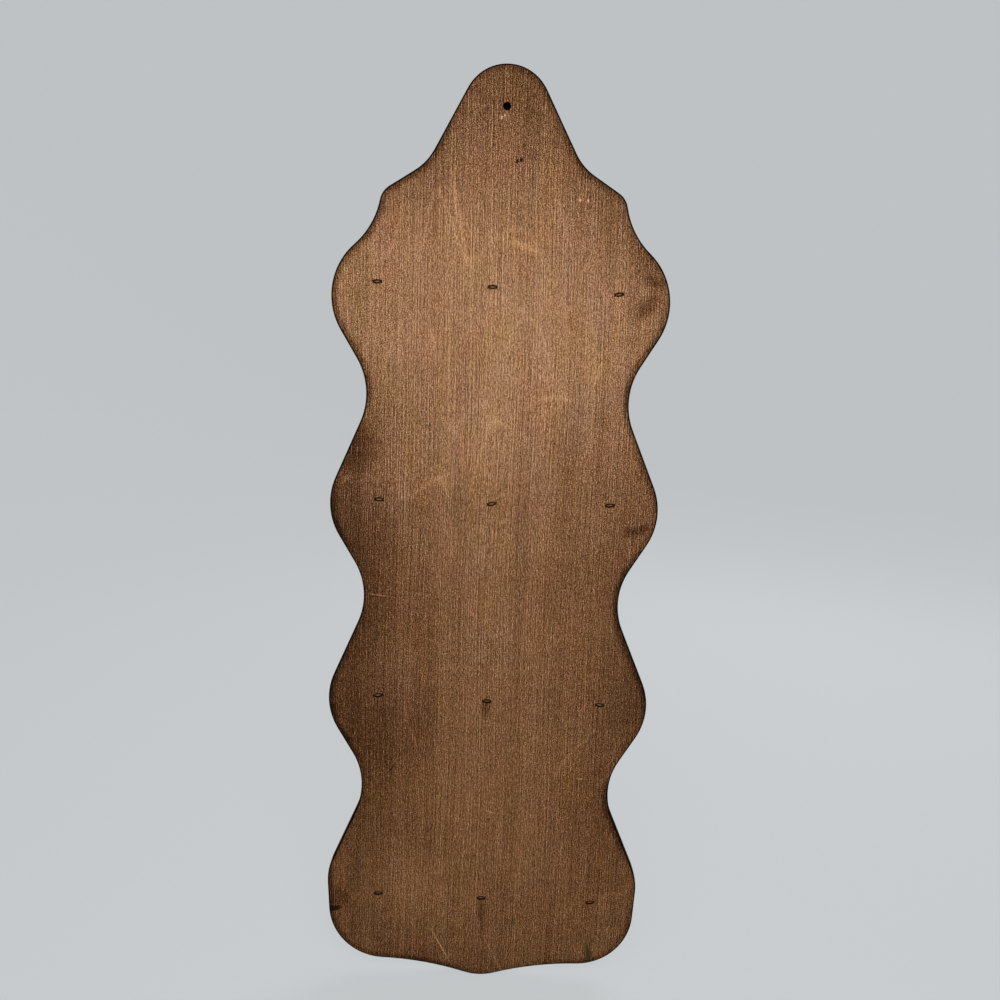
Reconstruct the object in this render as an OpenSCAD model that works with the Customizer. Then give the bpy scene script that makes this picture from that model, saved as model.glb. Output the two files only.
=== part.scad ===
// Wall rack for souvenir spoons: a scalloped board with four notched rails stapled to its front.
// The back of the board lies in the plane y = 0, which is the wall, and the rails face -Y. The origin is
// the middle of the hanging hole on the back, and +Z is up. Left and right are as seen from the front.

/* [Board] */
// Thickness of the board
board_t = 9.5; // [6:0.5:16]
// Radius of the eased edge all round the board
edge_r = 1.5; // [0.5:0.25:2.5]
// Diameter of the hanging hole
hole_d = 4.8; // [3:0.1:8]
// Drop from the top of the board to the middle of the hanging hole
hole_drop = 23.6; // [14:0.2:36]
// Wood left between the end of the hanging hole and the front of the board
hole_floor = 2; // [1:0.25:4]

/* [Crest and shoulders] */
// Radius of the round top
crest_r = 26; // [20:0.5:32]
// Radius of the cove between the crest and the shoulder
cove_r = 32.5; // [20:0.5:40]
// Distance from the middle of the board to the cove's centre
cove_x = 70; // [62:0.5:80]
// Drop from the top of the board to the cove's centre
cove_drop = 33; // [26:0.5:38]
// Half of the width across the shoulders
shoulder_half_w = 73; // [65:0.5:80]
// Drop from the top of the board to the shoulder
shoulder_drop = 80; // [72:0.5:90]
// Radius of the shoulder
shoulder_r = 12; // [6:0.5:16]
// Radius of the neck between the shoulder and the first lobe
neck_r = 47; // [30:0.5:60]

/* [Scalloped sides] */
// Half of the width across the lobes
lobe_half_w = 101; // [92:0.5:120]
// Radius of a lobe at its widest
lobe_r = 40; // [25:0.5:55]
// Drop from the top of the board to the first lobe
first_lobe_drop = 133.5; // [120:0.5:160]
// Distance from one lobe to the next
lobe_pitch = 125.5; // [105:0.5:160]
// Half of the width across the waists
waist_half_w = 79.5; // [70:0.5:86]
// Radius of a waist at its narrowest
waist_r = 42; // [25:0.5:55]
// Drop from a lobe to the waist below it
waist_drop = 58.5; // [48:0.5:70]

/* [Foot] */
// Half of the width across the bottom corners
corner_half_w = 100; // [90:0.5:105]
// Drop from the lowest lobe to the centre of the bottom corner
corner_drop = 18; // [15:0.5:30]
// Radius of a bottom corner
corner_r = 36.5; // [25:0.5:38]
// Radius of the hollow between a corner and the point
foot_r = 205; // [150:5:400]
// How far the point hangs below the corners
point_drop = 10; // [8:0.5:16]
// Radius of the point
point_r = 33.5; // [15:0.5:45]

/* [Rails] */
// Notches in each rail
slots_per_rail = 6; // [2:2:6]
// Distance from one notch to the next
slot_pitch = 23.7; // [18:0.1:27]
// Width of a notch, for the neck of a spoon's handle
slot_w = 5; // [4.5:0.1:8]
// Depth of a notch from the front of the rail
slot_depth = 12; // [8:0.5:15]
// How far each side of a notch opens out at its mouth
slot_flare = 1.5; // [0.5:0.25:3]
// Depth of a rail, from the board to its front
rail_depth = 20; // [17:0.5:28]
// Thickness of a rail
rail_t = 9.5; // [8:0.5:14]
// Distance from the outer staples to the end of a rail
rail_end = 12; // [8:0.5:18]
// Radius of a rail's front corners
rail_corner_r = 6; // [2:0.5:8]
// Radius of a rail's eased front edges
rail_edge_r = 2.5; // [1:0.25:4]
// Height of each rail above the widest point of its lobe, from the top rail down
rail_lift = [7, 3, 1.5, -8.5]; // [-10:0.5:10]

/* [Staples] */
// Width of a staple's crown
crown_w = 5.2; // [4.5:0.1:10]
// Length of a staple from its crown to its points
staple_l = 18; // [14:0.5:22]
// Width of the wire
wire_w = 1.25; // [0.8:0.05:1.6]
// Thickness of the wire
wire_t = 1.05; // [0.8:0.05:1.3]
// Outer radius of the bends at the crown
bend_r = 0.9; // [0.5:0.1:1.2]
// Length of the chisel points
leg_point = 1.6; // [0.8:0.1:2.5]
// Depth of the crown below the back of the board
staple_set = 0.4; // [0.2:0.1:1]
// Gap round the crown in the dent that it was driven into
dent_gap = 0.35; // [0.2:0.05:0.6]
// Gap between a staple's legs and the wood
staple_fit = 0.05; // [0.02:0.01:0.1]

/* [Hidden] */
$fn = 48;
ROWS = ["top", "upper", "lower", "bottom"];
SIDES = ["left", "centre", "right"];
rows = len(ROWS);

// How far each staple strayed as it was driven: across, up and turned, from left to right in each row
STRAY = [
    [[1, -1.5, 7], [5, 0.5, 0], [2.5, 1.5, 0]],
    [[0, 1, 5], [1.5, -0.5, 10], [-0.5, 0, -1]],
    [[0, -0.5, -4], [0.5, -0.5, -1], [-1.5, 1, 7]],
    [[-0.5, -1, 7], [0, -0.5, 2], [-3.5, 0.5, 5]]
];

STAIN = [0.45, 0.29, 0.18];
DARK_STAIN = [0.38, 0.24, 0.15];
WIRE = [0.62, 0.5, 0.4];

// Largest turn between two points of a curve, in degrees, and how far the chord between them may miss it
arc_step = 7.5;
arc_miss = 0.03;
// Steps round an eased edge
edge_steps = 3;
// How far a cut runs past the face that it opens through
overrun = 1;
// Share of the room between two curves that a hollow may fill
room = 0.98;
// Points nearer than this are one point
same_point = 0.01;

// A curve is [across, up, radius], with a negative radius where the edge hollows in.
// The stations along an edge are [curve, facing], where facing is the direction the edge looks out in.
function centre(c) = [c.x, c.y];
function toward(a) = [cos(a), sin(a)];
function spot(s, inset = 0) = centre(s[0]) + (s[0].z - inset) * toward(s[1]);
function arc(c, from, to) =
    let (step = min(arc_step, 2 * acos(1 - arc_miss / abs(c.z))))
    let (n = max(1, ceil(abs(to - from) / step)))
    [for (i = [0 : n]) [c, from + (to - from) * i / n]];
function arc_points(c, from, to) = [for (s = arc(c, from, to)) spot(s)];

// Facing of the straight run that joins two curves
function run_facing(a, b) =
    let (v = centre(b) - centre(a))
    let (t = atan2(v.y, v.x) + acos(max(-1, min(1, (a.z - b.z) / norm(v)))))
    t > 180 ? t - 360 : t;

// Hollow of radius r that touches two round curves, on the outer side of the way from a to b
function hollow_between(a, b, r) =
    let (v = centre(b) - centre(a), l = norm(v), u = v / l)
    let (along = (pow(a.z + r, 2) - pow(b.z + r, 2) + l * l) / (2 * l))
    let (across = sqrt(pow(a.z + r, 2) - along * along))
    [a.x + u.x * along - u.y * across, a.y + u.y * along + u.x * across, -r];

// Radius of a hollow at a place, kept to the room that the round curves beside it leave
function hollow_r(place, r, beside) =
    min(concat([r], [for (c = beside) room * (norm(place - centre(c)) - c.z)]));

// Heights of the lobes and rails
function lobe_z(i) = hole_drop - first_lobe_drop - i * lobe_pitch;
function rail_z(i) = lobe_z(i) + rail_lift[i];

// Lobe and waist radii, kept to what the shorter flank between them can hold
flank_in = lobe_half_w - waist_half_w;
flank_down = min(waist_drop, lobe_pitch - waist_drop);
flank_room = room * (pow(flank_down, 2) + pow(flank_in, 2)) / (2 * flank_in);
flank_fit = min(1, flank_room / (lobe_r + waist_r));
lobe_fit_r = lobe_r * flank_fit;
waist_fit_r = waist_r * flank_fit;

// Curves of the board's right side, from the top down
crest = [0, hole_drop - crest_r, crest_r];
shoulder = [shoulder_half_w - shoulder_r, hole_drop - shoulder_drop, shoulder_r];
cove_at = [cove_x, hole_drop - cove_drop];
cove = [cove_at.x, cove_at.y, -hollow_r(cove_at, cove_r, [crest, shoulder])];
lobes = [for (i = [0 : rows - 1]) [lobe_half_w - lobe_fit_r, lobe_z(i), lobe_fit_r]];
waists = [for (i = [0 : rows - 2]) [waist_half_w + waist_fit_r, lobe_z(i) - waist_drop, -waist_fit_r]];
neck = hollow_between(shoulder, lobes[0], neck_r);
corner = [corner_half_w - corner_r, lobe_z(rows - 1) - corner_drop, corner_r];
point = [0, corner.y - corner_r - point_drop + point_r, point_r];
foot = hollow_between(corner, point, foot_r);
scallops = [for (i = [0 : rows - 1]) each i < rows - 1 ? [lobes[i], waists[i]] : [lobes[i]]];
curves = concat([crest, cove, shoulder, neck], scallops, [corner, foot, point]);
facings = concat([90], [for (i = [1 : len(curves) - 1]) run_facing(curves[i - 1], curves[i])], [-90]);

// Stations down the right side, each place once
side_run = [for (i = [0 : len(curves) - 1]) each arc(curves[i], facings[i], facings[i + 1])];
side = [for (i = [0 : len(side_run) - 1])
    if (i == 0 || norm(spot(side_run[i]) - spot(side_run[i - 1])) > same_point) side_run[i]];
half = len(side);
loop = 2 * half - 2;

// Rings of the board from its back to its front: [inset, y]
quarter = [for (i = [0 : edge_steps]) toward(90 * i / edge_steps)];
back_edge = [for (q = quarter) [edge_r * (1 - q.y), -edge_r * (1 - q.x)]];
front_edge = [for (i = [edge_steps : -1 : 0]) [back_edge[i].x, -board_t - back_edge[i].y]];
rings = concat(back_edge, front_edge);

// Staples stand midway between notches: one in the middle of a rail, one beyond each outer notch
staple_x = slots_per_rail / 2 * slot_pitch;
rail_half_l = staple_x + rail_end;

function ring_points(ring) =
    let (right = [for (s = side) spot(s, ring.x)])
    concat(
        [for (p = right) [p.x, ring.y, p.y]],
        [for (i = [half - 2 : -1 : 1]) [-right[i].x, ring.y, right[i].y]]
    );

// Faces of one end of the board, as strips from side to side
function cap_faces() = concat(
    [[0, 1, loop - 1]],
    [for (i = [1 : half - 3]) [i, i + 1, loop - i - 1, loop - i]],
    [[half - 2, half - 1, half]]
);
function reversed(list) = [for (i = [len(list) - 1 : -1 : 0]) list[i]];

// Solid of the board, its eased edges rolled round by the rings
module board_blank() {
    last = (len(rings) - 1) * loop;
    walls = [for (r = [0 : len(rings) - 2], i = [0 : loop - 1])
        let (a = r * loop + i, b = r * loop + (i + 1) % loop)
        [a, b, b + loop, a + loop]];
    back = [for (f = cap_faces()) reversed(f)];
    front = [for (f = cap_faces()) [for (v = f) v + last]];
    polyhedron(points = [for (r = rings) each ring_points(r)], faces = concat(back, walls, front));
}

// Outline of a staple seen from above, grown by a gap all round
module staple_outline(gap) {
    outer = crown_w / 2 + gap;
    inner = crown_w / 2 - wire_t - gap;
    top = gap - staple_set;
    under = -staple_set - wire_t - gap;
    tip = -staple_set - staple_l - gap;
    bend = [outer - bend_r, top - bend_r, bend_r];
    right = concat(
        arc_points(bend, 90, 0),
        [[outer, tip + leg_point], [(outer + inner) / 2, tip], [inner, tip + leg_point], [inner, under]]
    );
    polygon(concat(right, reversed([for (p = right) [-p.x, p.y]])));
}

// Carries its children to the place where a staple was driven
module at_staple(row, side) {
    stray = STRAY[row][side];
    translate([(side - 1) * staple_x + stray.x, 0, rail_z(row) + stray.y])
        rotate([0, stray.z, 0])
            children();
}

// Wire of one staple, or with a gap the hole that it fills
module staple_wire(gap = 0)
    linear_extrude(wire_w + 2 * gap, center = true) staple_outline(gap);

// Hole of one staple, with the dent round its crown open to the back
module staple_hole() {
    dent_depth = staple_set + wire_t + staple_fit;
    dent_w = crown_w + 2 * dent_gap;
    dent_h = wire_w + 2 * dent_gap;
    staple_wire(staple_fit);
    translate([-dent_w / 2, -dent_depth, -dent_h / 2]) cube([dent_w, dent_depth + overrun, dent_h]);
}

// Holes of a row of staples
module staple_holes(row)
    for (side = [0 : len(SIDES) - 1]) at_staple(row, side) staple_hole();

// Bar of a rail before its notches are cut, its back at y = 0
module rail_blank() {
    corner_y = rail_corner_r - rail_depth;
    corner_x = rail_half_l - rail_corner_r;
    edge_y = rail_edge_r - rail_depth;
    edge_z = rail_t / 2 - rail_edge_r;
    plan = concat(
        [[-rail_half_l, 0], [rail_half_l, 0]],
        arc_points([corner_x, corner_y, rail_corner_r], 0, -90),
        arc_points([-corner_x, corner_y, rail_corner_r], -90, -180)
    );
    section = concat(
        [[0, -rail_t / 2], [0, rail_t / 2]],
        arc_points([edge_y, edge_z, rail_edge_r], 90, 180),
        arc_points([edge_y, -edge_z, rail_edge_r], 180, 270)
    );
    intersection() {
        linear_extrude(rail_t, center = true) polygon(plan);
        rotate([90, 0, 90]) linear_extrude(2 * rail_half_l, center = true) polygon(section);
    }
}

// Cut of one notch, round at its inner end and flared at its mouth
module slot_cut() {
    half_w = slot_w / 2;
    mouth_w = half_w + slot_flare;
    right = [[half_w, slot_flare - rail_depth], [mouth_w, -rail_depth], [mouth_w, -rail_depth - overrun]];
    outline = concat(
        reversed(right),
        arc_points([0, slot_depth - half_w - rail_depth, half_w], 0, 180),
        [for (p = right) [-p.x, p.y]]
    );
    linear_extrude(rail_t + 2 * overrun, center = true) polygon(outline);
}

module backboard()
    color(STAIN) difference() {
        board_blank();
        translate([0, overrun, 0])
            rotate([90, 0, 0]) cylinder(d = hole_d, h = board_t - hole_floor + overrun);
        for (row = [0 : rows - 1]) staple_holes(row);
    }

module rail(row)
    color(DARK_STAIN) difference() {
        translate([0, -board_t, rail_z(row)]) rail_blank();
        for (i = [0 : slots_per_rail - 1])
            translate([(i - (slots_per_rail - 1) / 2) * slot_pitch, -board_t, rail_z(row)]) slot_cut();
        staple_holes(row);
    }

module staple(row, side)
    color(WIRE) at_staple(row, side) staple_wire();

backboard();
for (row = [0 : rows - 1])
    rail(row);
for (row = [0 : rows - 1], side = [0 : len(SIDES) - 1])
    staple(row, side);
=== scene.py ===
"""Looks of a scalloped wall rack for spoons: a stained board, notched rails and their staples."""

import math
from collections import namedtuple

import bmesh
import bpy
import numpy as np
from mathutils import Matrix, Vector


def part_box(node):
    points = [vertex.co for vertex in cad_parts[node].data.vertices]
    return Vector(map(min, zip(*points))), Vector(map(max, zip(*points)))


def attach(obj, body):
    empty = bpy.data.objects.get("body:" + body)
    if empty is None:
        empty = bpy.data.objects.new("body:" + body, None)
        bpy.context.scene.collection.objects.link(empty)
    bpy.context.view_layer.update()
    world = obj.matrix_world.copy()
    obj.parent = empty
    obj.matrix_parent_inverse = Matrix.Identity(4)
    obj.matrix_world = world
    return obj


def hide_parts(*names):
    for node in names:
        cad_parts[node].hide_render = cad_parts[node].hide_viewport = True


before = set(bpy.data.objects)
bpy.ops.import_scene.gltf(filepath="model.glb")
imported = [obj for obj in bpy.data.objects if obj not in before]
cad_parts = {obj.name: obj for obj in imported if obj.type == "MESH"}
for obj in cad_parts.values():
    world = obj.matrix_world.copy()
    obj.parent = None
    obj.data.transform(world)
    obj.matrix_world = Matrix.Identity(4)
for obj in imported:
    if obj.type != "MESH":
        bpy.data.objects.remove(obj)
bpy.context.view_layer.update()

bl_info = {
    "name": "Souvenir Spoon Rack",
    "version": (1, 0, 0),
    "blender": (4, 5, 0),
    "location": "3D View > Sidebar > Spoon Rack",
    "description": "Dresses the packed rack: stained board, notched rails, staples and a pale studio",
    "category": "Object",
}

MM = 0.001
QUARTER_TURN = math.radians(90)
HALF_TURN = math.radians(180)
FULL_TURN = math.radians(360)
BODY = "root"
BOARD = "backboard"
RAILS = sorted(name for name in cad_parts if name.endswith("_rail"))
STAPLES = sorted(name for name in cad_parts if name.startswith("staple_"))
BOARD_LOW, BOARD_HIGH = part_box(BOARD)

# Points of a copied solid nearer than this are one point, and faces that turn less than this are one face
SAME_POINT = 0.001 * MM
FLAT_TURN = math.radians(0.1)
# A cut that passes a point nearer than this goes through it
CUT_SNAP = 0.05 * MM
# A face whose normal lies at least this much along Y is flat front or back
FLAT_ENOUGH = 0.999
# Edges that turn more than this stay crisp
CRISP_TURN = math.radians(35)
# Steps across a sanded arris, up the backdrop's cove and all round the backdrop
ARRIS_STEPS = 2
COVE_STEPS = 24
ROUND_STEPS = 96
# The rim's shading is worked out on a grid of this spacing, with a bell curve cut off at so many reaches
RIM_GRID = 1 * MM
BELL_REACHES = 3

# Noise is read on a slanted slice, so that its cells never line up in rows
SLANT = (0.62, 0.45, 0.31)
# Finer octaves inside the noise of the hue and of the film on the wire
HUE_DETAIL = 1.0
FILM_DETAIL = 2.0
# Levels of noise at which growth rings, the scorch and the bare wire start to show and show in full
RING_PATCHES = (0.4, 0.6)
SCORCH_PATCHES = (0.38, 0.62)
FILM_PATCHES = (0.25, 0.55)
# A place is never further than this from the nearest growth ring, counted in spacings
NEAREST_RING = 0.5
# Distances from an oval's middle, 1 at its rim, at which marks, dents and the painted highlights along the
# crowns start and are full
MARK_FADE = (1.0, 0.2)
DENT_FADE = (1.05, 0.85)
HIGHLIGHT_FADE = (1.0, 0.4)
# How far a mark, and a dent with its crown, reach in from the back
MARK_DEPTH = 2 * MM
CROWN_DEPTH = 4 * MM
# Where the black edge and the flat sides start and are full: 0 is on a face, 1 is where the easing ends
EDGE_FADE = (0.05, 0.35)
SIDE_FADE = (1.0, 1.4)
# Tones of the stain's five colours, and the tone below which the seal sank in
STAIN_TONES = (0.0, 0.2, 0.48, 0.75, 1.0)
SUNK_BELOW = 0.5
# Factors of red, green and blue that leave a colour as it is
UNCHANGED = Vector((1, 1, 1))
# Sockets of a Mix node for colours: the share, the colour under, the colour over, and what comes out
MIX_SHARE, MIX_UNDER, MIX_OVER, MIX_OUT = 0, 6, 7, 2


def linear(hex_colour):
    """Linear red, green and blue of an sRGB colour written as #rrggbb."""
    channels = [int(hex_colour[i:i + 2], 16) / 255 for i in (1, 3, 5)]
    return tuple(c / 12.92 if c <= 0.04045 else ((c + 0.055) / 1.055) ** 2.4 for c in channels)


def length(name, description, millimetres):
    """Length property whose default is written in millimetres."""
    return bpy.props.FloatProperty(
        name=name, description=description, default=millimetres * MM, min=0, precision=5, unit="LENGTH"
    )


def height(name, description, millimetres):
    """Height property above the hanging hole whose default is written in millimetres."""
    return bpy.props.FloatProperty(
        name=name, description=description, default=millimetres * MM, precision=5, unit="LENGTH"
    )


def place(name, description, millimetres):
    """Point property in the rack's frame whose default is written in millimetres."""
    return bpy.props.FloatVectorProperty(
        name=name, description=description, default=[v * MM for v in millimetres], unit="LENGTH"
    )


def share(name, description, default):
    """Plain factor property."""
    return bpy.props.FloatProperty(name=name, description=description, default=default, subtype="FACTOR")


def levels(name, description, default):
    """Row of plain factors."""
    return bpy.props.FloatVectorProperty(
        name=name, description=description, default=default, size=len(default)
    )


def turn(name, description, degrees):
    """Angle property whose default is written in degrees."""
    return bpy.props.FloatProperty(
        name=name, description=description, default=math.radians(degrees), subtype="ANGLE"
    )


def power(name, description, watts):
    """Power property of a lamp."""
    return bpy.props.FloatProperty(name=name, description=description, default=watts, unit="POWER")


def film(name, description, millimetres):
    """Size property inside the camera, in millimetres."""
    return bpy.props.FloatProperty(name=name, description=description, default=millimetres, unit="CAMERA")


def colour(name, description, hex_colour):
    """Colour property whose default is written as sRGB hex."""
    return bpy.props.FloatVectorProperty(
        name=name, description=description, default=linear(hex_colour), min=0, max=1, subtype="COLOR"
    )


class Grain(bpy.types.PropertyGroup):
    """Sizes and depths of the wood's grain"""

    # Specks, fibres and threads are finer in real wood, and are drawn just coarse enough to show
    speck_w: length("Speck width", "Width of the specks between the fibres", 0.3)
    speck_l: length("Speck length", "Length of the specks", 0.45)
    speck_depth: share("Speck depth", "How far the specks change the tone", 1.8)
    fibre_w: length("Fibre width", "Width of a fibre dash", 0.3)
    fibre_l: length("Fibre length", "Length of a fibre dash", 2.6)
    fibre_depth: share("Fibre depth", "How far the fibre dashes lighten and darken the tone", 0.55)
    thread_w: length("Thread width", "Width of the longer threads in the grain", 0.3)
    thread_l: length("Thread length", "Length of the longer threads in the grain", 60)
    thread_depth: share("Thread depth", "How far the threads change the tone", 0.62)
    pore_gap: length("Pore gap", "Distance from a dark pore to the pale fibre beside it", 0.55)
    strand_w: length("Strand width", "Width of the strands that gather several threads", 1.2)
    strand_l: length("Strand length", "Length of the strands", 70)
    strand_depth: share("Strand depth", "How far the strands change the tone", 0.12)
    band_w: length("Band width", "Width of the broad bands along the grain", 10)
    band_l: length("Band length", "Length of the broad bands along the grain", 350)
    band_depth: share("Band depth", "How far the bands change the tone", 0.15)
    curl_w: length("Curl width", "Reach of the cross figure over the grain", 10)
    curl_l: length("Curl length", "Height of the cross figure along the grain", 7)
    curl_depth: share("Curl depth", "How far the cross figure changes the tone", 0.08)
    cloud: length("Cloud", "Size of the patches where the stain took more or less", 55)
    cloud_depth: share("Cloud depth", "How far the patches change the tone", 0.12)
    sway: length("Sway", "How far the grain wanders sideways", 6)
    sway_w: length("Sway width", "Distance across the grain over which it wanders", 70)
    sway_l: length("Sway length", "Distance along the grain over which it wanders", 190)
    ring_w: length("Ring hill width", "Width of the hills that the growth rings map", 42)
    ring_l: length("Ring hill length", "Length of the hills that the growth rings map", 190)
    rings: share("Rings", "Growth rings that the veneer knife cut through over one hill", 7)
    ring_line: share("Ring line", "Width of a growth ring's pale line as a share of the spacing", 0.05)
    ring_depth: share("Ring depth", "How far a growth ring lightens the tone", 0.11)
    relief: length("Relief", "Height of the raised fibres before they were sealed", 0.1)
    relief_share: share("Relief share", "How much of that height the seal leaves", 0.2)


class BoardFinish(bpy.types.PropertyGroup):
    """Finish of the board"""

    cell: length("Mesh cell", "Spacing of the mesh points that carry the toning", 4)
    deepest: colour("Deepest stain", "Stain in a pore", "#231409")
    deep: colour("Deep stain", "Stain in the shaded rim", "#573722")
    middle: colour("Middle stain", "Stain over plain wood", "#7e5431")
    pale: colour("Pale stain", "Stain on hard fibres", "#a87d5b")
    palest: colour("Palest stain", "Stain on the hardest fibres", "#deaf84")
    base_tone: share("Base tone", "Tone of the plain stain on the ramp from dark to pale", 0.577)
    hue_w: length("Hue width", "Width of the patches where the stain leans to red, olive or plum", 14)
    hue_l: length("Hue length", "Length of those patches along the grain", 32)
    hue_depth: levels("Hue depth", "How far red, green and blue drift between patches", (0.2, 0, 0.42))
    # The crest and foot settings paint shade: they darken the very top and the lower board, where less light
    # fell, and soften the grain's contrast with it
    crest_shade: share("Crest tone", "How much darker the stain is at the very top", 0.115)
    crest_from: height("Crest start", "Where the stain starts to darken to the crest", -97)
    crest_to: height("Crest end", "Where the crest has its full depth", -36)
    foot_shade: share("Foot tone", "How much darker the stain is at the foot", 0.17)
    foot_grain: share("Foot grain", "How much of the grain's contrast the deeper stain leaves", 0.95)
    foot_from: height("Foot start", "Where the stain starts to darken to the foot", -150)
    foot_to: height("Foot end", "Where the stain has its full depth", -275)
    warm_tint: levels("Warm tint", "Red, green and blue of the stain's lean to gold", (1.02, 1, 0.92))
    warm_from: height("Warm start", "Where the stain starts to lean to gold", -345)
    warm_to: height("Warm end", "Where the stain has its full gold", -415)
    rim_reach: length("Rim reach", "How far the sprayed rim shading reaches in", 22)
    rim_tone: share("Rim tone", "How much darker the shaded rim is", 0.36)
    rim_left: levels(
        "Left rim", "Weight of the rim on the picture's left, crest first", (0.4, 0.18, 0.85, 0.9, 0.35)
    )
    rim_right: levels(
        "Right rim", "Weight of the rim on the picture's right, crest first", (0.5, 0.36, 0.4, 0.52, 0.2)
    )
    # The almost black edge is dark stain in the end grain together with painted shade on the rounding
    edge_r: length("Eased edge", "Reach of the eased edge that the stain turned dark", 1.5)
    edge: colour("Edge", "Eased edge and hole, almost black", "#120903")
    scorch_reach: length("Scorch reach", "How far the almost black edge fades into the face", 4)
    scorch_patch: length("Scorch patch", "Distance over which the fading comes and goes", 60)
    scorch_tone: share("Scorch tone", "How much darker the faded edge is where it is strongest", 0.31)
    scorch_least: share("Least scorch", "Share of that tone where the faded edge is weakest", 0.15)
    side_share: share("Side share", "How much of the wood's own colour shows on the sides", 0.55)
    side_tone: share("Side tone", "How much paler the flat sides are than the eased edges", 0.3)
    # Painted shade: the hanging hole is painted dark to its end
    hole_reach: length("Hole reach", "Radius that holds the hanging hole, dark to its end", 3)
    smear: colour("Smear", "Old greenish smears near the foot", "#2e351c")
    roughness: share("Roughness", "Roughness of the wiped satin seal", 0.5)
    gloss: share("Gloss", "Specular level of the thin seal", 0.05)


class RailFinish(bpy.types.PropertyGroup):
    """Finish of the rails"""

    cell: length("Mesh cell", "Spacing of the mesh points that carry the edge tone", 3)
    arris: length("Arris", "Width of the sanded arris along each sharp edge", 0.45)
    base_tone: share("Base tone", "Tone of the stain on the ramp from dark to pale", 0.54)
    edge_tone: share("Edge tone", "How much darker the stain lies along the arrises", 0.2)


class StapleFinish(bpy.types.PropertyGroup):
    """Finish of the staples"""

    arris: length("Arris", "Round on the edges of the drawn wire", 0.16)
    film: length("Film", "Size of the patches of stain left on the wire", 0.7)
    # The pale wire colour and its roughness show only in the painted highlight along each crown, patchy
    # where the stain is thin
    wire: colour("Wire", "Steel browned by the stain", "#8f6647")
    wire_roughness: share("Wire roughness", "Roughness of the rubbed wire", 0.4)
    stained: colour("Stained wire", "Steel where the stain lies thick", "#281302")
    stained_roughness: share("Stained roughness", "Roughness where the stain lies thick", 0.65)
    gloss: share("Gloss", "Specular level of the stain on the wire", 0.05)
    bar_w: length("Rubbed width", "Half width of the rubbed bar along a crown", 2.3)
    bar_h: length("Rubbed height", "Half height of the rubbed bar along a crown", 0.5)
    # The dark dent round a crown is stain pooled in the recess together with painted shade in it
    dent_w: length("Dent width", "Half width of the dark dent round a crown", 2.95)
    dent_h: length("Dent height", "Half height of the dark dent round a crown", 1.4)
    dent_tone: share("Dent tone", "How much darker the dent is", 0.8)


class Studio(bpy.types.PropertyGroup):
    """Floor, lamps and camera"""

    paper: colour("Backdrop", "Pale paper of the floor and backdrop", "#c3c6c8")
    paper_lit: colour("Backdrop seen", "Paper as the camera sees it, evenly lit", "#d2d6d8")
    paper_glow: share("Backdrop glow", "Share of the paper's look that is evenly lit", 0.75)
    paper_roughness: share("Backdrop roughness", "Roughness of the paper", 0.95)
    paper_gloss: share("Backdrop gloss", "Specular level of the paper", 0.1)
    floor_r: length("Floor radius", "Radius of the flat floor", 1300)
    cove_r: length("Cove radius", "Radius of the curve from the floor up to the wall", 1200)
    wall_h: length("Wall height", "Height of the wall above the cove", 900)
    ambient: share("Ambient", "Strength of the light from all round", 0.4)
    key_power: power("Key power", "Power of the lamp before the back", 1.55)
    key_size: length("Key size", "Width of the lamp before the back", 360)
    key_at: place("Key place", "Where the lamp before the back stands", (10, 440, -100))
    key_aim: place("Key aim", "Where the lamp before the back points", (-10, 0, -105))
    broad_power: power("Broad power", "Power of the large lamp behind the camera", 7.0)
    broad_size: length("Broad size", "Width of the large lamp behind the camera", 1200)
    broad_at: place("Broad place", "Where the large lamp stands", (-150, 1600, 250))
    broad_aim: place("Broad aim", "Where the large lamp points", (0, 0, -260))
    fill_power: power("Fill power", "Power of the lamp before the rails", 10.0)
    fill_size: length("Fill size", "Width of the lamp before the rails", 900)
    fill_at: place("Fill place", "Where the lamp before the rails stands", (-500, -950, 500))
    fill_aim: place("Fill aim", "Where the lamp before the rails points", (0, 0, -240))
    camera_aim: place("Camera aim", "Point on the back that the picture is centred on", (-3.6, 0, -230.2))
    camera_gap: length("Camera distance", "Distance from that point to the camera", 613.8)
    camera_pitch: turn("Camera pitch", "How far the camera looks down", 9.31)
    camera_roll: turn("Camera roll", "How far the camera leans", 1.94)
    lens: film("Lens", "Focal length", 36)
    sensor: film("Sensor", "Width of the picture on the sensor", 36)


class SpoonRack(bpy.types.PropertyGroup):
    """Everything a user would change on the rack"""

    grain: bpy.props.PointerProperty(type=Grain, name="Grain", description="The wood's grain")
    board: bpy.props.PointerProperty(type=BoardFinish, name="Board", description="The board's finish")
    rail: bpy.props.PointerProperty(type=RailFinish, name="Rails", description="The rails' finish")
    staple: bpy.props.PointerProperty(type=StapleFinish, name="Staples", description="The staples' finish")
    studio: bpy.props.PointerProperty(type=Studio, name="Studio", description="Floor, lamps and camera")


def rack():
    """The settings of this scene's rack."""
    return bpy.context.scene.spoon_rack


# Nodes


def add(tree, kind, inputs=None, stops=None, **settings):
    """Adds a node, sets it up and gives each named input a value or a link. Returns the node."""
    made = tree.nodes.new(kind)
    for name, value in settings.items():
        setattr(made, name, value)
    for socket, value in (inputs or {}).items():
        if isinstance(value, bpy.types.NodeSocket):
            tree.links.new(value, made.inputs[socket])
        else:
            made.inputs[socket].default_value = value
    if stops:
        elements = made.color_ramp.elements
        while len(elements) < len(stops):
            elements.new(1)
        for element, (at, tint) in zip(elements, stops):
            element.position = at
            element.color = (*tint, 1)
    return made


def new_material(name):
    """An empty material: itself, its node tree and its surface shader."""
    material = bpy.data.materials.new(name)
    material.use_nodes = True
    tree = material.node_tree
    tree.nodes.clear()
    surface = add(tree, "ShaderNodeBsdfPrincipled")
    add(tree, "ShaderNodeOutputMaterial", {"Surface": surface.outputs[0]})
    return material, tree, surface


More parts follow.
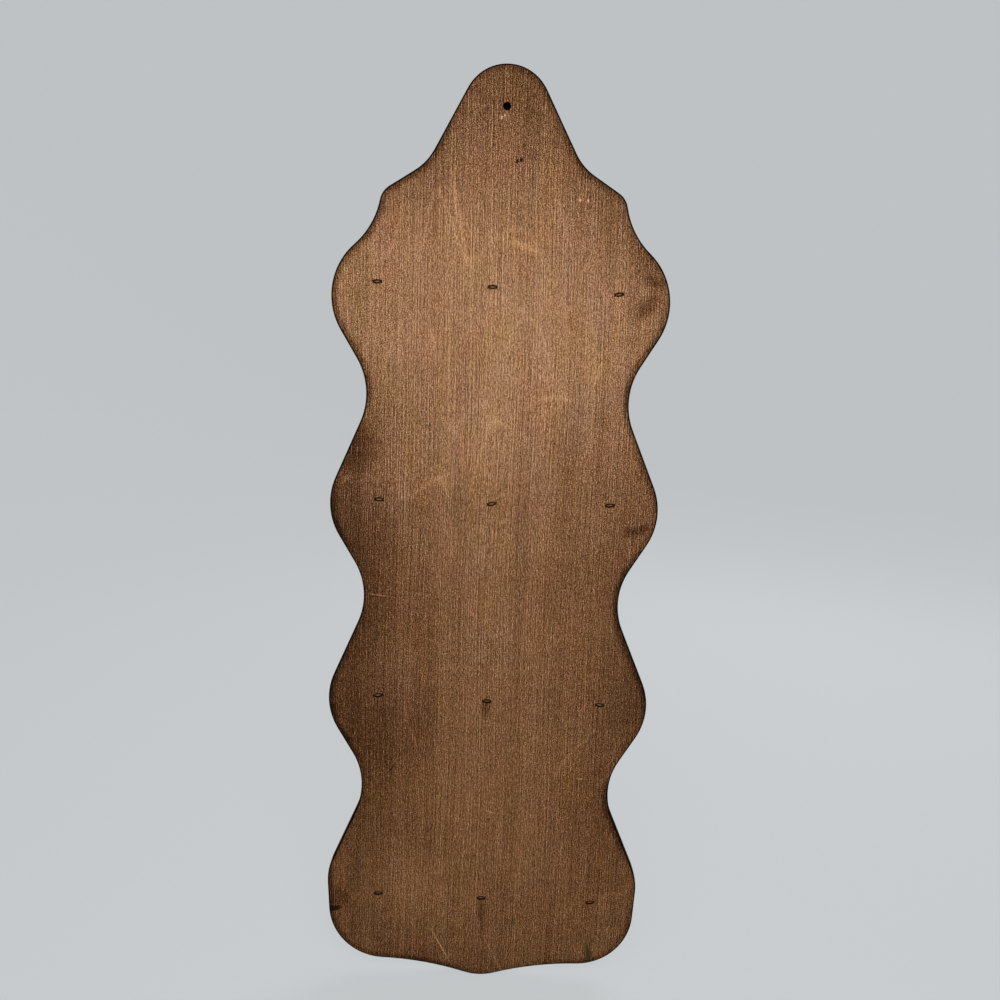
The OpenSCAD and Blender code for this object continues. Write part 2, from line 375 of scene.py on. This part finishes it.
def stretched_noise(tree, at, across, along, detail=0.0, output="Fac"):
    """Noise whose cells are this wide across the grain and this long along Z."""
    inputs = {"Vector": at, "Rotation": SLANT, "Scale": (1 / across, 1 / across, 1 / along)}
    cells = add(tree, "ShaderNodeMapping", inputs)
    noise = add(tree, "ShaderNodeTexNoise", {"Vector": cells.outputs[0], "Scale": 1, "Detail": detail})
    return noise.outputs[output]


def layered(tree, tone, layers):
    """Tone with layers laid over it, each a cover and the change of tone where that cover is full."""
    for cover, depth in layers:
        inputs = {0: cover, 1: depth, 2: tone}
        tone = add(tree, "ShaderNodeMath", inputs, operation="MULTIPLY_ADD").outputs[0]
    return tone


# Materials


def ring_lines(tree, at):
    """Thin pale lines where the veneer knife cut through growth rings, like contours on a map."""
    grain = rack().grain
    hills = stretched_noise(tree, at, grain.ring_w, grain.ring_l)
    count = add(tree, "ShaderNodeMath", {0: hills, 1: grain.rings}, operation="MULTIPLY").outputs[0]
    nearest = add(tree, "ShaderNodeMath", {0: count, 1: NEAREST_RING}, operation="PINGPONG").outputs[0]
    inputs = {"Value": nearest, "From Min": grain.ring_line, "From Max": 0.0}
    line = add(tree, "ShaderNodeMapRange", inputs, interpolation_type="SMOOTHSTEP").outputs[0]
    patches = stretched_noise(tree, at, grain.cloud, grain.cloud)
    start, full = RING_PATCHES
    inputs = {"Value": patches, "From Min": start, "From Max": full}
    shown = add(tree, "ShaderNodeMapRange", inputs, interpolation_type="SMOOTHSTEP").outputs[0]
    return add(tree, "ShaderNodeMath", {0: line, 1: shown}, operation="MULTIPLY").outputs[0]


def grain_tone(tree, at):
    """How far the grain along Z of the place changes the tone, and the relief of its fibres."""
    grain = rack().grain
    sway = stretched_noise(tree, at, grain.sway_w, grain.sway_l)
    inputs = {0: sway, 1: (grain.sway, 0, 0), 2: at}
    bent = add(tree, "ShaderNodeVectorMath", inputs, operation="MULTIPLY_ADD").outputs[0]
    patches = (
        (grain.speck_w, grain.speck_l, grain.speck_depth),
        (grain.strand_w, grain.strand_l, grain.strand_depth),
        (grain.band_w, grain.band_l, grain.band_depth),
        (grain.curl_w, grain.curl_l, grain.curl_depth),
        (grain.cloud, grain.cloud, grain.cloud_depth),
    )
    layers = [(stretched_noise(tree, bent, across, along), depth) for across, along, depth in patches]
    # Noise lies about one half, so half of every depth comes off first
    tone = layered(tree, -sum(depth for cover, depth in layers) / 2, layers)
    dashes = (
        (grain.fibre_w, grain.fibre_l, grain.fibre_depth),
        (grain.thread_w, grain.thread_l, grain.thread_depth),
    )
    # Each dark pore has a pale fibre beside it, so the dashes come off again a little way across
    beside = add(tree, "ShaderNodeVectorMath", {0: bent, 1: (grain.pore_gap, 0, 0)}).outputs[0]
    fibres = [stretched_noise(tree, bent, across, along) for across, along, depth in dashes]
    pores = [stretched_noise(tree, beside, across, along) for across, along, depth in dashes]
    for fibre, pore, (across, along, depth) in zip(fibres, pores, dashes):
        step = add(tree, "ShaderNodeMath", {0: fibre, 1: pore}, operation="SUBTRACT").outputs[0]
        tone = layered(tree, tone, [(step, depth)])
    tone = layered(tree, tone, [(ring_lines(tree, bent), grain.ring_depth)])
    return tone, fibres[0]


def stain_colour(tree, at, tone):
    """Colour of the stain at a tone, from pores to hard fibres, leaning to red, olive or plum in patches."""
    finish = rack().board
    colours = (finish.deepest, finish.deep, finish.middle, finish.pale, finish.palest)
    stops = tuple(zip(STAIN_TONES, colours))
    tint = add(tree, "ShaderNodeValToRGB", {"Fac": tone}, stops=stops).outputs["Color"]
    drift = stretched_noise(tree, at, finish.hue_w, finish.hue_l, HUE_DETAIL, "Color")
    depth = Vector(finish.hue_depth)
    inputs = {0: drift, 1: depth, 2: UNCHANGED - depth / 2}
    drift = add(tree, "ShaderNodeVectorMath", inputs, operation="MULTIPLY_ADD").outputs[0]
    return add(tree, "ShaderNodeVectorMath", {0: tint, 1: drift}, operation="MULTIPLY").outputs[0]


def finish_wood(tree, surface, tone, relief, tint):
    """Colour, sheen and relief of sealed wood, matt where the stain is darkest and the seal sank in."""
    grain = rack().grain
    finish = rack().board
    inputs = {"Value": tone, "From Max": SUNK_BELOW, "To Min": 1.0, "To Max": finish.roughness}
    rough = add(tree, "ShaderNodeMapRange", inputs)
    inputs = {"Height": relief, "Strength": grain.relief_share, "Distance": grain.relief}
    bump = add(tree, "ShaderNodeBump", inputs)
    tree.links.new(tint, surface.inputs["Base Color"])
    tree.links.new(rough.outputs[0], surface.inputs["Roughness"])
    tree.links.new(bump.outputs[0], surface.inputs["Normal"])
    surface.inputs["Specular IOR Level"].default_value = finish.gloss


# Marks on the back: where an oval lies and its size in millimetres, its lean in degrees,
# and its change of tone
Mark = namedtuple("Mark", "x z wide tall lean strength")
MARKS = (
    # Stain gathered dark on the first lobe, above and below its rail's end
    Mark(-86, -86, 22, 40, 25, -0.12),
    Mark(-91, -97, 18, 11, -15, -0.18),
    Mark(-88, -110, 26, 15, 42, -0.22),
    Mark(-84, -116, 9, 16, -20, -0.14),
    # Stain gathered on the second lobe
    Mark(-85, -248, 12, 10, 0, -0.2),
    Mark(-91, -246, 16, 9, 22, -0.2),
    # Stain gathered above the second lobe and, more faintly, inside the third
    Mark(84, -202, 34, 44, -18, -0.2),
    Mark(52, -376, 74, 90, 0, -0.08),
    # Stain wiped thinner below the second rail and on the last lobe
    Mark(5, -258, 150, 56, 0, 0.07),
    Mark(50, -484, 70, 80, 0, 0.1),
    # Pale figure of the veneer on the shoulders and below the first row of staples
    Mark(27, -58, 5, 76, 11, 0.14),
    Mark(-12, -78, 32, 8, -23, 0.14),
    Mark(-13.5, -115.5, 14, 7, 0, 0.1),
    Mark(-60, -151, 4, 26, -14, 0.12),
    Mark(-36, -167, 36, 5, 0, 0.12),
    Mark(39.5, -136, 4, 28, 7, 0.12),
    # Two pin knots side by side under the hanging hole
    Mark(-7.0, -30.4, 2.0, 3.4, 0, -0.9),
    Mark(-9.2, -29.6, 2.2, 3.4, 0, -0.9),
    # Grey smudges and a dark streak under two of the middle staples
    Mark(0.9, -364, 9, 20, 0, -0.24),
    Mark(0, -503, 8, 18, 0, -0.18),
    Mark(-0.6, -514, 2, 28, 5, -0.3),
    # Knock at the edge of the last lobe
    Mark(96, -506, 13, 5, 12, -0.6),
    Mark(93, -498, 16, 20, 0, -0.2),
    # Long light scratch near the point, and short ones higher up
    Mark(25.4, -531.2, 1.4, 40, 29.4, 0.5),
    Mark(-3.5, -434.5, 9, 1.2, -20, 0.35),
    Mark(-61, -410, 6, 1.4, 0, 0.5),
    Mark(69, -293, 24, 1.3, -6, 0.3),
    # Pale chips below the hole and specks on the shoulder
    Mark(2.8, -6.4, 1.9, 2.6, 0, 0.8),
    Mark(1.0, -5.2, 1.7, 2.2, 0, 0.8),
    Mark(-44.5, -51, 2.2, 2.2, 0, 0.8),
    Mark(-49.2, -51.4, 2, 2.6, 0, 0.8),
    # Dark scratch on the waist above the last lobe
    Mark(60, -407, 1.5, 14, -35, -0.4),
)
# Old greenish smears near the foot, with the share of their colour
SMEARS = (Mark(-72, -533, 6, 24, 8, 0.75), Mark(-21.6, -511.8, 4, 10, 0, 0.6))


def oval(tree, at, centre, half, lean=0.0):
    """Distance from the middle of an oval on the board's back, 1 at its rim."""
    inputs = {"Vector": at, "Location": centre, "Rotation": (0, lean, 0), "Scale": half}
    local = add(tree, "ShaderNodeMapping", inputs, vector_type="TEXTURE").outputs[0]
    return add(tree, "ShaderNodeVectorMath", {0: local}, operation="LENGTH").outputs["Value"]


def mark_cover(tree, at, mark):
    """How strongly a mark shows, full at its middle and fading out to its rim."""
    centre = (mark.x * MM, 0, mark.z * MM)
    half = (mark.wide / 2 * MM, MARK_DEPTH, mark.tall / 2 * MM)
    distance = oval(tree, at, centre, half, math.radians(mark.lean))
    start, full = MARK_FADE
    inputs = {"Value": distance, "From Min": start, "From Max": full, "To Max": mark.strength}
    return add(tree, "ShaderNodeMapRange", inputs, interpolation_type="SMOOTHSTEP").outputs[0]


def staple_seat(name):
    """Middle and lean of a staple's crown on the back."""
    points = np.array([v.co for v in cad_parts[name].data.vertices])
    crown = points[points[:, 1] > points[:, 1].max() - SAME_POINT]
    middle = (crown.min(axis=0) + crown.max(axis=0)) / 2
    flat = (crown - middle)[:, [0, 2]]
    across, up = np.linalg.svd(flat, full_matrices=False)[2][0]
    lean = -math.atan2(up * np.sign(across), abs(across))
    return Vector((middle[0], 0, middle[2])), lean


def crown_distance(tree, at, half_w, half_h):
    """Distance from the nearest staple's middle, 1 at the rim of an oval of this half width and height."""
    ovals = []
    for name in STAPLES:
        middle, lean = staple_seat(name)
        ovals.append(oval(tree, at, middle, (half_w, CROWN_DEPTH, half_h), lean))
    nearest = ovals[0]
    for distance in ovals[1:]:
        nearest = add(tree, "ShaderNodeMath", {0: nearest, 1: distance}, operation="MINIMUM").outputs[0]
    return nearest


def between_heights(tree, at, start, full):
    """How far a place has come from the start height to the full one, eased from 0 to 1."""
    up = add(tree, "ShaderNodeSeparateXYZ", {0: at}).outputs["Z"]
    inputs = {"Value": up, "From Min": start, "From Max": full}
    return add(tree, "ShaderNodeMapRange", inputs, interpolation_type="SMOOTHSTEP").outputs[0]


def stained_and_shaded_tone(tree, at, grain):
    """Tone of the stain over the grain, with painted shade darker at the crest and towards the foot, where
    less light fell.
    """
    finish = rack().board
    foot = between_heights(tree, at, finish.foot_from, finish.foot_to)
    crest = between_heights(tree, at, finish.crest_from, finish.crest_to)
    contrast = layered(tree, 1.0, [(foot, finish.foot_grain - 1)])
    tone = layered(tree, finish.base_tone, [(grain, contrast)])
    # Painted shade at the foot and at the crest
    return layered(tree, tone, [(foot, -finish.foot_shade), (crest, -finish.crest_shade)])


def scorched(tree, at, tone):
    """Tone with the almost black edge fading into the face, stronger and weaker by turns."""
    finish = rack().board
    scorch = add(tree, "ShaderNodeAttribute", attribute_name="scorch").outputs["Fac"]
    patches = stretched_noise(tree, at, finish.scorch_patch, finish.scorch_patch)
    start, full = SCORCH_PATCHES
    inputs = {
        "Value": patches,
        "From Min": start,
        "From Max": full,
        "To Min": finish.scorch_least * finish.scorch_tone,
        "To Max": finish.scorch_tone,
    }
    strength = add(tree, "ShaderNodeMapRange", inputs).outputs[0]
    inputs = {"Value": scorch, "To Max": strength}
    faded = add(tree, "ShaderNodeMapRange", inputs, interpolation_type="SMOOTHSTEP").outputs[0]
    return add(tree, "ShaderNodeMath", {0: tone, 1: faded}, operation="SUBTRACT").outputs[0]


def marked(tree, at, tone):
    """Tone with every mark on the back, and the dark dents that the crowns were driven into, dark from stain
    pooled in them and from painted shade.
    """
    for mark in MARKS:
        tone = add(tree, "ShaderNodeMath", {0: tone, 1: mark_cover(tree, at, mark)}).outputs[0]
    staple = rack().staple
    # Dark dent round each crown: pooled stain with painted shade
    distance = crown_distance(tree, at, staple.dent_w, staple.dent_h)
    start, full = DENT_FADE
    inputs = {"Value": distance, "From Min": start, "From Max": full}
    dent = add(tree, "ShaderNodeMapRange", inputs, interpolation_type="SMOOTHSTEP").outputs[0]
    return layered(tree, tone, [(dent, -staple.dent_tone)])


def gilded(tree, at, tint):
    """Colour that leans to gold towards the foot."""
    finish = rack().board
    low = between_heights(tree, at, finish.warm_from, finish.warm_to)
    inputs = {0: low, 1: Vector(finish.warm_tint) - UNCHANGED, 2: UNCHANGED}
    gold = add(tree, "ShaderNodeVectorMath", inputs, operation="MULTIPLY_ADD").outputs[0]
    return add(tree, "ShaderNodeVectorMath", {0: tint, 1: gold}, operation="MULTIPLY").outputs[0]


def smeared(tree, at, tint):
    """Colour with the old smears over it."""
    smear = (*rack().board.smear, 1)
    for mark in SMEARS:
        inputs = {MIX_SHARE: mark_cover(tree, at, mark), MIX_UNDER: tint, MIX_OVER: smear}
        tint = add(tree, "ShaderNodeMix", inputs, data_type="RGBA").outputs[MIX_OUT]
    return tint


def black_cover(tree, edge, side):
    """How far the almost black colour covers: full on the eased edge, where it is dark stain with painted
    shade, full in the hole, and less on the flat sides.
    """
    start, full = EDGE_FADE
    inputs = {"Value": edge, "From Min": start, "From Max": full}
    black = add(tree, "ShaderNodeMapRange", inputs, interpolation_type="SMOOTHSTEP").outputs[0]
    cover = layered(tree, 1.0, [(side, -rack().board.side_share)])
    return add(tree, "ShaderNodeMath", {0: black, 1: cover}, operation="MULTIPLY").outputs[0]


def stained_birch_board():
    """Rotary-cut birch, stained by rag and shaded dark at the rim: fine dashes, faint curl, black edges."""
    finish = rack().board
    material, tree, surface = new_material("Birch, rotary cut, brown stain")
    at = add(tree, "ShaderNodeTexCoord").outputs["Object"]
    rim = add(tree, "ShaderNodeAttribute", attribute_name="rim").outputs["Fac"]
    edge = add(tree, "ShaderNodeAttribute", attribute_name="edge").outputs["Fac"]
    start, full = SIDE_FADE
    inputs = {"Value": edge, "From Min": start, "From Max": full}
    side = add(tree, "ShaderNodeMapRange", inputs, interpolation_type="SMOOTHSTEP").outputs[0]
    grain, relief = grain_tone(tree, at)
    tone = stained_and_shaded_tone(tree, at, grain)
    tone = layered(tree, tone, [(rim, -finish.rim_tone)])
    tone = scorched(tree, at, tone)
    tone = layered(tree, tone, [(side, finish.side_tone)])
    tone = marked(tree, at, tone)
    tint = stain_colour(tree, at, tone)
    tint = gilded(tree, at, tint)
    tint = smeared(tree, at, tint)
    # Almost black on the eased edges, dark stain with painted shade, and in the hole, painted shade
    black = black_cover(tree, edge, side)
    inputs = {MIX_SHARE: black, MIX_UNDER: tint, MIX_OVER: (*finish.edge, 1)}
    tint = add(tree, "ShaderNodeMix", inputs, data_type="RGBA").outputs[MIX_OUT]
    tone = add(tree, "ShaderNodeMath", {0: tone, 1: black}, operation="SUBTRACT").outputs[0]
    finish_wood(tree, surface, tone, relief, tint)
    return material


def stained_birch_rail():
    """Solid birch stained like the board, with the grain along the rail and dark arrises."""
    finish = rack().rail
    material, tree, surface = new_material("Birch, planed, brown stain")
    at = add(tree, "ShaderNodeTexCoord").outputs["Object"]
    turned = add(tree, "ShaderNodeMapping", {"Vector": at, "Rotation": (0, QUARTER_TURN, 0)}).outputs[0]
    edge = add(tree, "ShaderNodeAttribute", attribute_name="edge").outputs["Fac"]
    grain, relief = grain_tone(tree, turned)
    tone = add(tree, "ShaderNodeMath", {0: grain, 1: finish.base_tone}).outputs[0]
    tone = layered(tree, tone, [(edge, -finish.edge_tone)])
    finish_wood(tree, surface, tone, relief, stain_colour(tree, turned, tone))
    return material


def browned_steel():
    """Drawn steel staple wire under stain: dark brown, with a painted highlight of dull tan along the lit
    top of the crown.
    """
    finish = rack().staple
    material, tree, surface = new_material("Steel wire, drawn, browned by stain")
    at = add(tree, "ShaderNodeTexCoord").outputs["Object"]
    # Painted highlight: a pale bar along the lit top of each crown
    distance = crown_distance(tree, at, finish.bar_w, finish.bar_h)
    start, full = HIGHLIGHT_FADE
    inputs = {"Value": distance, "From Min": start, "From Max": full}
    highlighted = add(tree, "ShaderNodeMapRange", inputs, interpolation_type="SMOOTHSTEP").outputs[0]
    patches = stretched_noise(tree, at, finish.film, finish.film, FILM_DETAIL)
    start, full = FILM_PATCHES
    inputs = {"Value": patches, "From Min": start, "From Max": full}
    bare = add(tree, "ShaderNodeMapRange", inputs).outputs[0]
    bare = add(tree, "ShaderNodeMath", {0: bare, 1: highlighted}, operation="MULTIPLY").outputs[0]
    stops = ((0.0, finish.stained), (1.0, finish.wire))
    tint = add(tree, "ShaderNodeValToRGB", {"Fac": bare}, stops=stops).outputs["Color"]
    inputs = {"Value": bare, "To Min": finish.stained_roughness, "To Max": finish.wire_roughness}
    rough = add(tree, "ShaderNodeMapRange", inputs).outputs[0]
    tree.links.new(tint, surface.inputs["Base Color"])
    tree.links.new(rough, surface.inputs["Roughness"])
    surface.inputs["Specular IOR Level"].default_value = finish.gloss
    return material


def backdrop_paper():
    """Matt photographer's paper: pale grey with a faint blue, no gloss, and even wherever it is seen."""
    studio = rack().studio
    material, tree, surface = new_material("Paper, matt, pale grey")
    surface.inputs["Base Color"].default_value = (*studio.paper, 1)
    surface.inputs["Roughness"].default_value = studio.paper_roughness
    surface.inputs["Specular IOR Level"].default_value = studio.paper_gloss
    rays = add(tree, "ShaderNodeLightPath").outputs
    seen = rays["Is Camera Ray"]
    for ray in ("Is Glossy Ray", "Is Transmission Ray"):
        seen = add(tree, "ShaderNodeMath", {0: seen, 1: rays[ray]}, operation="MAXIMUM").outputs[0]
    lit = add(tree, "ShaderNodeMath", {0: seen, 1: studio.paper_glow}, operation="MULTIPLY").outputs[0]
    glow = add(tree, "ShaderNodeEmission", {"Color": (*studio.paper_lit, 1)}).outputs[0]
    both = add(tree, "ShaderNodeMixShader", {0: lit, 1: surface.outputs[0], 2: glow}).outputs[0]
    tree.links.new(both, tree.get_output_node("ALL").inputs["Surface"])
    return material


# Meshes


def merged_copy(node):
    """Copy of a solid's mesh with its triangles joined and its flat faces whole."""
    bm = bmesh.new()
    bm.from_mesh(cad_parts[node].data)
    bmesh.ops.remove_doubles(bm, verts=bm.verts[:], dist=SAME_POINT)
    bmesh.ops.dissolve_limit(bm, angle_limit=FLAT_TURN, verts=bm.verts[:], edges=bm.edges[:])
    return bm


def cut_cells(bm, cell):
    """Cuts the mesh by even planes square to X, Y and Z, so that points lie about a cell apart."""
    for axis in range(3):
        places = [v.co[axis] for v in bm.verts]
        low, high = min(places), max(places)
        square = Vector([float(axis == i) for i in range(3)])
        count = max(1, round((high - low) / cell))
        for i in range(1, count):
            middle = square * (low + (high - low) * i / count)
            geometry = bm.verts[:] + bm.edges[:] + bm.faces[:]
            bmesh.ops.bisect_plane(bm, geom=geometry, dist=CUT_SNAP, plane_co=middle, plane_no=square)


def crisp_edges(bm):
    """Edges where two faces meet at more than the crisp turn."""
    return [e for e in bm.edges if e.calc_face_angle(0) > CRISP_TURN]


def ease_arrises(bm, reach):
    """Rounds every crisp edge as far in as this reach. Returns the new faces."""
    edges = crisp_edges(bm)
    made = bmesh.ops.bevel(
        bm, geom=edges, offset=reach, affect="EDGES", segments=ARRIS_STEPS, profile=0.5, material=-1
    )
    return made["faces"]


def put(name, data):
    """New object in the scene for a mesh, a lamp or a camera."""
    made = bpy.data.objects.new(name, data)
    bpy.context.scene.collection.objects.link(made)
    return made


def smooth_object(bm, name, material):
    """Object of a mesh, smooth but for the edges that are marked otherwise."""
    for face in bm.faces:
        face.smooth = True
    mesh = bpy.data.meshes.new(name)
    bm.to_mesh(mesh)
    bm.free()
    mesh.materials.append(material)
    return put(name, mesh)


def piece_from(bm, name, material):
    """Finished object of a mesh, smooth but for its crisp edges."""
    for edge in crisp_edges(bm):
        edge.smooth = False
    piece = smooth_object(bm, name, material)
    weighted = piece.modifiers.new("Flat faces stay flat", "WEIGHTED_NORMAL")
    weighted.keep_sharp = True
    return piece


def dress(piece, node):
    """The piece stands for a solid, which it hides, and moves with the rack."""
    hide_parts(node)
    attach(piece, BODY)


def point_values(piece, name, values):
    """Stores one number per mesh point for the material to read."""
    attribute = piece.data.attributes.new(name, "FLOAT", "POINT")
    attribute.data.foreach_set("value", np.asarray(values, np.float32))


def outer_wall(bm):
    """Faces of the board's side and eased edges, found from its widest point on."""
    wall = {max(bm.faces, key=lambda face: face.calc_center_median().x)}
    fresh = list(wall)
    while fresh:
        around = {other for edge in fresh.pop().edges for other in edge.link_faces}
        around = [face for face in around - wall if abs(face.normal.y) < FLAT_ENOUGH]
        wall.update(around)
        fresh.extend(around)
    return list(wall)


def ring_in(bm, reach):
    """Rings both faces inside the eased edge, so that the scorched edge fades evenly across the ring."""
    wall = outer_wall(bm)
    bmesh.ops.inset_region(
        bm, faces=wall, use_boundary=True, use_even_offset=True, use_outset=True, thickness=reach
    )
    scorch = bm.verts.layers.float.new("scorch")
    for vertex in {vertex for face in wall for vertex in face.verts}:
        vertex[scorch] = 1.0


def edge_depth(points):
    """How far round the eased edge each point lies: 0 on a face, 1 at its end, more on the flat sides."""
    finish = rack().board
    sunk = np.minimum(BOARD_HIGH.y - points[:, 1], points[:, 1] - BOARD_LOW.y)
    depth = np.sqrt(np.clip(sunk / finish.edge_r, 0, None))
    # The hanging hole is painted as black as the edge to its end: painted shade inside the blind hole
    in_hole = np.hypot(points[:, 0], points[:, 2]) < finish.hole_reach
    return np.where(in_hole, np.minimum(depth, 1), depth)


def half_width(points):
    """Half width of the board against height, from the points of its widest ring."""
    right = points[points[:, 0] >= 0]
    heights = np.unique(np.round(right[:, 2] / SAME_POINT)) * SAME_POINT
    widest = [right[np.abs(right[:, 2] - z) < SAME_POINT, 0].max() for z in heights]
    return heights, np.array(widest)


def nearest_line(places, grid):
    """Number of the grid line nearest to each place."""
    return np.clip(np.round((places - grid[0]) / RIM_GRID).astype(int), 0, len(grid) - 1)


def rim_shade(points, reach):
    """How much of the neighbourhood of each point lies off the board: most on lobes, least in the waists."""
    margin = BELL_REACHES * reach
    xs = np.arange(BOARD_LOW.x - margin, BOARD_HIGH.x + margin, RIM_GRID)
    zs = np.arange(BOARD_LOW.z - margin, BOARD_HIGH.z + margin, RIM_GRID)
    heights, widths = half_width(points)
    inside = np.abs(xs)[None, :] < np.interp(zs, heights, widths, left=0, right=0)[:, None]
    offsets = np.arange(-margin, margin + RIM_GRID, RIM_GRID)
    bell = np.exp(-0.5 * (offsets / reach) ** 2)
    bell /= bell.sum()
    near = inside.astype(float)
    for axis in (0, 1):
        near = np.apply_along_axis(np.convolve, axis, near, bell, mode="same")
    on_board = near[nearest_line(points[:, 2], zs), nearest_line(points[:, 0], xs)]
    # Half of what surrounds a point on a straight edge lies off the board
    return np.clip(2 * (1 - on_board), 0, 1) * rim_weight(points)


def rim_weight(points):
    """How heavily the rim was shaded at each point, eased from lobe to lobe and from side to side."""
    finish = rack().board
    lobes = [sum(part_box(name), Vector()).z / 2 for name in RAILS]
    heights = sorted([BOARD_HIGH.z, *lobes])
    left = np.interp(points[:, 2], heights, list(reversed(finish.rim_left)))
    right = np.interp(points[:, 2], heights, list(reversed(finish.rim_right)))
    # The picture's left is +X, and in the middle both sides weigh one half
    across = np.clip(0.5 + points[:, 0] / BOARD_HIGH.x, 0, 1)
    return right + (left - right) * across


class SPOONRACK_OT_board(bpy.types.Operator):
    """Makes the stained board with its shaded rim"""

    bl_idname = "spoon_rack.board"
    bl_label = "Board"

    def execute(self, context):
        finish = rack().board
        bm = merged_copy(BOARD)
        ring_in(bm, finish.scorch_reach)
        cut_cells(bm, finish.cell)
        piece = piece_from(bm, "stained_board", stained_birch_board())
        points = np.array([v.co for v in piece.data.vertices])
        point_values(piece, "edge", edge_depth(points))
        point_values(piece, "rim", rim_shade(points, finish.rim_reach))
        dress(piece, BOARD)
        return {"FINISHED"}


class SPOONRACK_OT_rails(bpy.types.Operator):
    """Makes the four notched rails"""

    bl_idname = "spoon_rack.rails"
    bl_label = "Rails"

    def execute(self, context):
        finish = rack().rail
        material = stained_birch_rail()
        for node in RAILS:
            bm = merged_copy(node)
            arrises = ease_arrises(bm, finish.arris)
            worn = bm.verts.layers.float.new("edge")
            for face in arrises:
                for vertex in face.verts:
                    vertex[worn] = 1.0
            cut_cells(bm, finish.cell)
            piece = piece_from(bm, f"stained_{node}", material)
            dress(piece, node)
        return {"FINISHED"}


class SPOONRACK_OT_staples(bpy.types.Operator):
    """Makes the twelve staples"""

    bl_idname = "spoon_rack.staples"
    bl_label = "Staples"

    def execute(self, context):
        finish = rack().staple
        material = browned_steel()
        for node in STAPLES:
            bm = merged_copy(node)
            ease_arrises(bm, finish.arris)
            piece = piece_from(bm, f"wire_{node}", material)
            dress(piece, node)
        return {"FINISHED"}


# Studio


def backdrop(studio):
    """Floor that curves up into a wall all round."""
    floor = BOARD_LOW.z
    bm = bmesh.new()
    middle = bm.verts.new((0, 0, floor))
    rim = bm.verts.new((studio.floor_r, 0, floor))
    bm.edges.new((middle, rim))
    bend = (studio.floor_r, 0, floor + studio.cove_r)
    curve = bmesh.ops.spin(bm, geom=[rim], cent=bend, axis=(0, -1, 0), angle=QUARTER_TURN, steps=COVE_STEPS)
    top = [part for part in curve["geom_last"] if isinstance(part, bmesh.types.BMVert)]
    raised = bmesh.ops.extrude_vert_indiv(bm, verts=top)["verts"]
    bmesh.ops.translate(bm, verts=raised, vec=(0, 0, studio.wall_h))
    profile = bm.verts[:] + bm.edges[:]
    bmesh.ops.spin(
        bm, geom=profile, cent=(0, 0, 0), axis=(0, 0, 1), angle=FULL_TURN, steps=ROUND_STEPS, use_merge=True
    )
    bmesh.ops.remove_doubles(bm, verts=bm.verts[:], dist=SAME_POINT)
    bmesh.ops.recalc_face_normals(bm, faces=bm.faces[:])
    smooth_object(bm, "backdrop", backdrop_paper())


def even_world(studio):
    """World that lights everything evenly in the paper's colour."""
    world = bpy.data.worlds.new("Studio")
    world.use_nodes = True
    light = world.node_tree.nodes["Background"].inputs
    light["Color"].default_value = (*studio.paper, 1)
    light["Strength"].default_value = studio.ambient
    return world


def soft_lamp(name, at, aim, size, watts):
    """Square soft lamp that points at a place."""
    lamp = bpy.data.lights.new(name, "AREA")
    lamp.size = size
    lamp.energy = watts
    holder = put(name, lamp)
    holder.location = at
    holder.rotation_euler = (Vector(aim) - Vector(at)).to_track_quat("-Z", "Y").to_euler()
    holder.visible_camera = False


def picture_camera(studio):
    """Camera before the back, at the picture's distance, pitch and lean."""
    data = bpy.data.cameras.new("camera")
    data.lens = studio.lens
    data.sensor_width = studio.sensor
    camera = put("camera", data)
    back = Vector((0, math.cos(studio.camera_pitch), math.sin(studio.camera_pitch)))
    eye = Vector(studio.camera_aim) + studio.camera_gap * back
    camera.matrix_world = (
        Matrix.Translation(eye)
        @ Matrix.Rotation(HALF_TURN, 4, "Z")
        @ Matrix.Rotation(QUARTER_TURN - studio.camera_pitch, 4, "X")
        @ Matrix.Rotation(studio.camera_roll, 4, "Z")
    )
    return camera


class SPOONRACK_OT_studio(bpy.types.Operator):
    """Makes the floor, the lamps and the camera"""

    bl_idname = "spoon_rack.studio"
    bl_label = "Studio"

    def execute(self, context):
        scene = context.scene
        studio = rack().studio
        backdrop(studio)
        scene.world = even_world(studio)
        soft_lamp("key", studio.key_at, studio.key_aim, studio.key_size, studio.key_power)
        soft_lamp("broad", studio.broad_at, studio.broad_aim, studio.broad_size, studio.broad_power)
        soft_lamp("fill", studio.fill_at, studio.fill_aim, studio.fill_size, studio.fill_power)
        scene.camera = picture_camera(studio)
        scene.view_settings.view_transform = "Standard"
        return {"FINISHED"}


class SPOONRACK_PT_panel(bpy.types.Panel):
    """Lists the rack's pieces"""

    bl_idname = "SPOONRACK_PT_panel"
    bl_label = "Spoon Rack"
    bl_space_type = "VIEW_3D"
    bl_region_type = "UI"
    bl_category = "Spoon Rack"

    def draw(self, context):
        for operator in OPERATORS:
            self.layout.operator(operator.bl_idname)


OPERATORS = (SPOONRACK_OT_board, SPOONRACK_OT_rails, SPOONRACK_OT_staples, SPOONRACK_OT_studio)
CLASSES = (Grain, BoardFinish, RailFinish, StapleFinish, Studio, SpoonRack, *OPERATORS, SPOONRACK_PT_panel)


def register():
    for part in CLASSES:
        bpy.utils.register_class(part)
    bpy.types.Scene.spoon_rack = bpy.props.PointerProperty(type=SpoonRack)


def unregister():
    del bpy.types.Scene.spoon_rack
    for part in reversed(CLASSES):
        bpy.utils.unregister_class(part)


def main():
    """Makes every piece and the studio."""
    register()
    bpy.ops.spoon_rack.board()
    bpy.ops.spoon_rack.rails()
    bpy.ops.spoon_rack.staples()
    bpy.ops.spoon_rack.studio()


if __name__ == "__main__":
    main()
